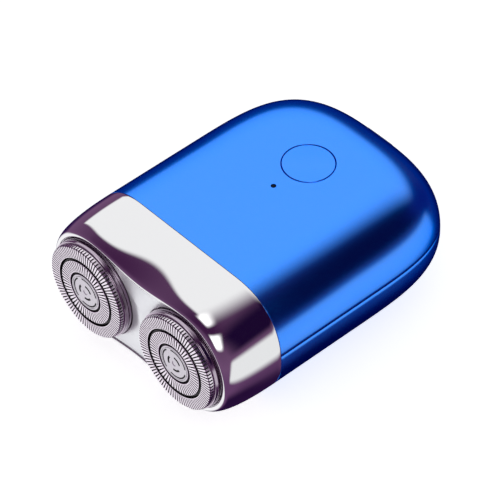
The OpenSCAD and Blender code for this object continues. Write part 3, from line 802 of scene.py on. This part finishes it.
# ---- Foil rings --------------------------------------------------------------------
# A plated ring carries each foil. Below a polished band it has a fine turned groove,
# and a flange behind the face plate keeps it in.
FLANGE_R = 12.0
FLANGE_Y = PLATE - FRONT + PLATE_T + 0.1
FLANGE_T = 0.8
BORE_R = 10.73
RING_PROFILE = [(BORE_R, 1.2), (10.95, 1.2), (11.02, 1.23), (11.05, 1.3), (11.05, 2.05), (10.9, 2.08),
                (10.9, 2.2), (RING_R, 2.24), (RING_R, FLANGE_Y), (FLANGE_R, FLANGE_Y),
                (FLANGE_R, FLANGE_Y + FLANGE_T), (BORE_R, FLANGE_Y + FLANGE_T)]

RING_PLATING, tree, shader = new_finish("ring_plating", (0.42, 0.35, 0.42), 1.0, 0.12)
add_handling(tree, shader, 0.12, 0.6, 500)
for side, hand in ((-1, "left"), (1, "right")):
    ring = turned(RING_PROFILE, hand + "_foil_ring", (side * HEAD_X, FRONT, HEAD_Z), steps=160)
    dress(ring, RING_PLATING)
    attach(ring, hand + "_head")
    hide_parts(hand + "_foil_ring")


# ---- Foil badges -------------------------------------------------------------------
# The middle of each foil is closed by a coined cap: a raised ring, a broken ring
# groove, and a plain disc with a dimple and three short arcs. The sunk ring groove and
# the arcs are painted dark as shade.
BADGE_R = 4.16
BADGE_DEPTH = 0.85
BADGE_STEPS = 120
COINED = 0.16                            # depth of the broken ring and of the arcs
RING_GAPS = 3
BADGE_PROFILE = [(0, 0.1), (0.5, 0.1), (0.62, 0.02), (1.15, 0), (1.45, 0), (1.95, 0), (2.25, 0), (3.15, 0),
                 (3.5, 0), (3.68, 0), (3.72, 0.12), (3.8, 0.12), (3.84, 0), (3.95, 0), (4.1, 0.02),
                 (BADGE_R, 0.08), (BADGE_R, BADGE_DEPTH), (0, BADGE_DEPTH)]


def badge_piece(side, name):
    bm = bmesh.new()
    verts = [bm.verts.new((r, y, 0)) for r, y in BADGE_PROFILE]
    edges = [bm.edges.new(pair) for pair in zip(verts, verts[1:])]
    spin_closed(bm, verts + edges, BADGE_STEPS)
    bmesh.ops.recalc_face_normals(bm, faces=bm.faces)
    sunk = []
    for f in bm.faces:
        middle = f.calc_center_median()
        r = hypot(middle.x, middle.z)
        turn = degrees(atan2(middle.z, middle.x)) % (360 / RING_GAPS)
        ring_groove = 3.16 < r < 3.5 and 12 < turn < 108
        arc = 1.46 < r < 1.94 and 20 < turn < 90
        if middle.y < 0.05 and (ring_groove or arc):
            sunk.append(f)
    walls = bmesh.ops.extrude_face_region(bm, geom=sunk)
    bmesh.ops.delete(bm, geom=sunk, context="FACES_ONLY")
    bmesh.ops.translate(bm, vec=(0, COINED, 0), verts=new_verts(walls))
    for f in bm.faces:
        middle = f.calc_center_median()
        # painted shade: the floors and walls of the sunk groove and arcs take the dark finish
        f.material_index = int(0.05 < middle.y < 0.2 and 1.4 < hypot(middle.x, middle.z) < 3.6)
    bmesh.ops.translate(bm, vec=(side * HEAD_X, FRONT, HEAD_Z), verts=bm.verts)
    return piece_from(bm, name, 30)


BADGE_STEEL, tree, shader = new_finish("badge_steel", (0.5, 0.47, 0.51), 1.0, 0.22)
add_handling(tree, shader, 0.24, 0.6, 700)
for side, hand in ((-1, "left"), (1, "right")):
    badge = badge_piece(side, hand + "_foil_badge")
    dress(badge, BADGE_STEEL, FOIL_PAINTED_SHADE)
    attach(badge, hand + "_head")
    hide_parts(hand + "_foil_badge")


# ---- Power button --------------------------------------------------------------------
# A round cap in the same lacquer, flush with the top in a fine dark gap. A flange
# under the shell holds it in.
BUTTON_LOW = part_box("power_button")[0].z / MM
BUTTON_FLANGE_R = BUTTON_R + 0.8
BUTTON_FLANGE_Z = TOP_Z - 1.6 - 0.1
BUTTON_PROFILE = [(0, TOP_Z), (BUTTON_R - 0.2, TOP_Z), (BUTTON_R - 0.1, TOP_Z - 0.02),
                  (BUTTON_R - 0.03, TOP_Z - 0.08), (BUTTON_R, TOP_Z - 0.18), (BUTTON_R, BUTTON_FLANGE_Z),
                  (BUTTON_FLANGE_R, BUTTON_FLANGE_Z), (BUTTON_FLANGE_R, BUTTON_LOW), (0, BUTTON_LOW)]
power_button = turned(BUTTON_PROFILE, "power_button", (0, BUTTON_Y, 0), "Z", 160, closed=False)
dress(power_button, BLUE)
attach(power_button, "power_button")
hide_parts("power_button")


# ---- Status light ----------------------------------------------------------------------
# A smoked light guide reaches through a pin hole in the shell; with the light off
# it reads as a dark dot.
PIPE_LOW, PIPE_TOP = (corner.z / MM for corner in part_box("light_pipe"))
PIPE_R = 0.5
PIPE_FOOT_R = 1.2
PIPE_PROFILE = [(0, PIPE_TOP - 0.03), (0.36, PIPE_TOP - 0.06), (0.47, PIPE_TOP - 0.16),
                (PIPE_R, PIPE_TOP - 0.3), (PIPE_R, PIPE_LOW + 1), (PIPE_FOOT_R, PIPE_LOW + 1),
                (PIPE_FOOT_R, PIPE_LOW), (0, PIPE_LOW)]
SMOKED = new_finish("smoked_guide", (0.001, 0.002, 0.02), 0.0, 0.5, Specular_IOR_Level=0.1)[0]
guide = turned(PIPE_PROFILE, "light_pipe", (0, LIGHT_Y, 0), "Z", 48, closed=False)
dress(guide, SMOKED)
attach(guide, "housing")
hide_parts("light_pipe")


# ---- Spindle springs -------------------------------------------------------------------
# A coil of plated spring wire on each spindle pushes its head forward. It has closed
# ends.
COIL_R = 2.25
WIRE_R = 0.24
COIL_TURNS = 4.0
COIL_STEPS = 32
COLLAR_TO_HUB = 3.36


def moulded(name, colour, roughness=0.5, grain=0.3):
    """Moulded plastic or rubber with a spark-eroded grain."""
    finish, tree, shader = new_finish(name, colour, 0.0, roughness)
    place = tree.nodes.new("ShaderNodeTexCoord").outputs["Object"]
    skin = value_node(tree, "ShaderNodeTexNoise", Scale=6000.0, Detail=4.0)
    tree.links.new(place, skin.inputs["Vector"])
    bump = value_node(tree, "ShaderNodeBump", Strength=grain, Distance=0.00003)
    tree.links.new(skin.outputs["Fac"], bump.inputs["Height"])
    tree.links.new(bump.outputs[0], shader.inputs["Normal"])
    add_handling(tree, shader, roughness, 0.3, 900)
    return finish


def worked_metal(name, colour, roughness=0.3):
    """Plated or turned metal with faint tool marks."""
    finish, tree, shader = new_finish(name, colour, 1.0, roughness)
    marks = add_handling(tree, shader, roughness, 0.8, 600)
    bump = value_node(tree, "ShaderNodeBump", Strength=0.1, Distance=0.00001)
    tree.links.new(marks.outputs["Height"], bump.inputs["Height"])
    tree.links.new(bump.outputs[0], shader.inputs["Normal"])
    return finish


def spring_coil(name, x, back):
    """A helix that ends at y = back, with one closed turn at each end."""
    bm = bmesh.new()
    made = bmesh.ops.create_circle(bm, segments=10, radius=WIRE_R)
    bmesh.ops.rotate(bm, verts=made["verts"], matrix=Matrix.Rotation(pi / 2, 3, "Z"))
    bmesh.ops.translate(bm, vec=(COIL_R, WIRE_R - COLLAR_TO_HUB, 0), verts=made["verts"])
    closed = 2 * WIRE_R * 1.02
    rise = (COLLAR_TO_HUB - 2 * WIRE_R - 2 * closed) / (COIL_TURNS - 2)
    ring = list(bm.edges)
    bm.faces.new(made["verts"])
    for turns, pitch in ((1, closed), (COIL_TURNS - 2, rise), (1, closed)):
        steps = round(COIL_STEPS * turns)
        advance = (0, pitch * turns / steps, 0)
        spun = bmesh.ops.spin(bm, geom=ring, cent=(0, 0, 0), axis=(0, 1, 0), dvec=advance,
                              angle=2 * pi * turns, steps=steps, use_merge=False)
        ring = [g for g in spun["geom_last"] if isinstance(g, bmesh.types.BMEdge)]
    bmesh.ops.contextual_create(bm, geom=ring)
    bmesh.ops.translate(bm, vec=(x, back, HEAD_Z), verts=bm.verts)
    bmesh.ops.recalc_face_normals(bm, faces=bm.faces)
    return piece_from(bm, name, 60)


SPRING_WIRE = worked_metal("spring_wire", (0.62, 0.62, 0.64), 0.25)
for side, hand in ((-1, "left"), (1, "right")):
    hub_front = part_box(hand + "_spring")[1].y / MM + 0.05
    coil = spring_coil(hand + "_spring", side * HEAD_X, hub_front)
    dress(coil, SPRING_WIRE)
    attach(coil, hand + "_gear")
    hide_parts(hand + "_spring")
    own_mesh(coil)


# ---- Works inside --------------------------------------------------------------------
# The deck, drive, motor, cell and board keep their designed shapes, and get the
# finish of what they are made of: moulded, plated, turned or etched.
SLOT_FINISHES = {
    "cutter_steel": worked_metal("blade_steel", (0.5, 0.48, 0.5), 0.25),
    "dark_plastic": moulded("dark_plastic", (0.03, 0.03, 0.034), 0.45),
    "pale_plastic": moulded("pale_plastic", (0.76, 0.75, 0.7), 0.4, 0.15),
    "black_rubber": moulded("black_rubber", (0.012, 0.012, 0.012), 0.7, 0.6),
    "plated_steel": worked_metal("plated_steel", (0.6, 0.6, 0.62)),
    "bearing_brass": worked_metal("bearing_brass", (0.72, 0.5, 0.2), 0.25),
    "copper_wire": worked_metal("copper_wire", (0.7, 0.3, 0.14), 0.3),
    "board_green": moulded("board_green", (0.01, 0.12, 0.04), 0.3, 0.1),
    "clear_plastic": moulded("diffuser", (0.8, 0.82, 0.84), 0.3, 0.1),
    "cell_wrap": worked_metal("cell_wrap", (0.42, 0.44, 0.47), 0.35),
    "red_lead": moulded("red_lead", (0.45, 0.02, 0.015), 0.45, 0.2),
}
MADE_ANEW = {"top_shell", "back_shell", "head_shell", "face_plate", "left_foil", "right_foil",
             "left_foil_ring", "right_foil_ring", "left_foil_badge", "right_foil_badge", "power_button",
             "light_pipe", "left_spring", "right_spring"}
for entry in frame["record"]["subparts"]:
    if entry["node"] not in MADE_ANEW:
        dress(nodes[entry["node"]], SLOT_FINISHES[entry["material_slot"]])
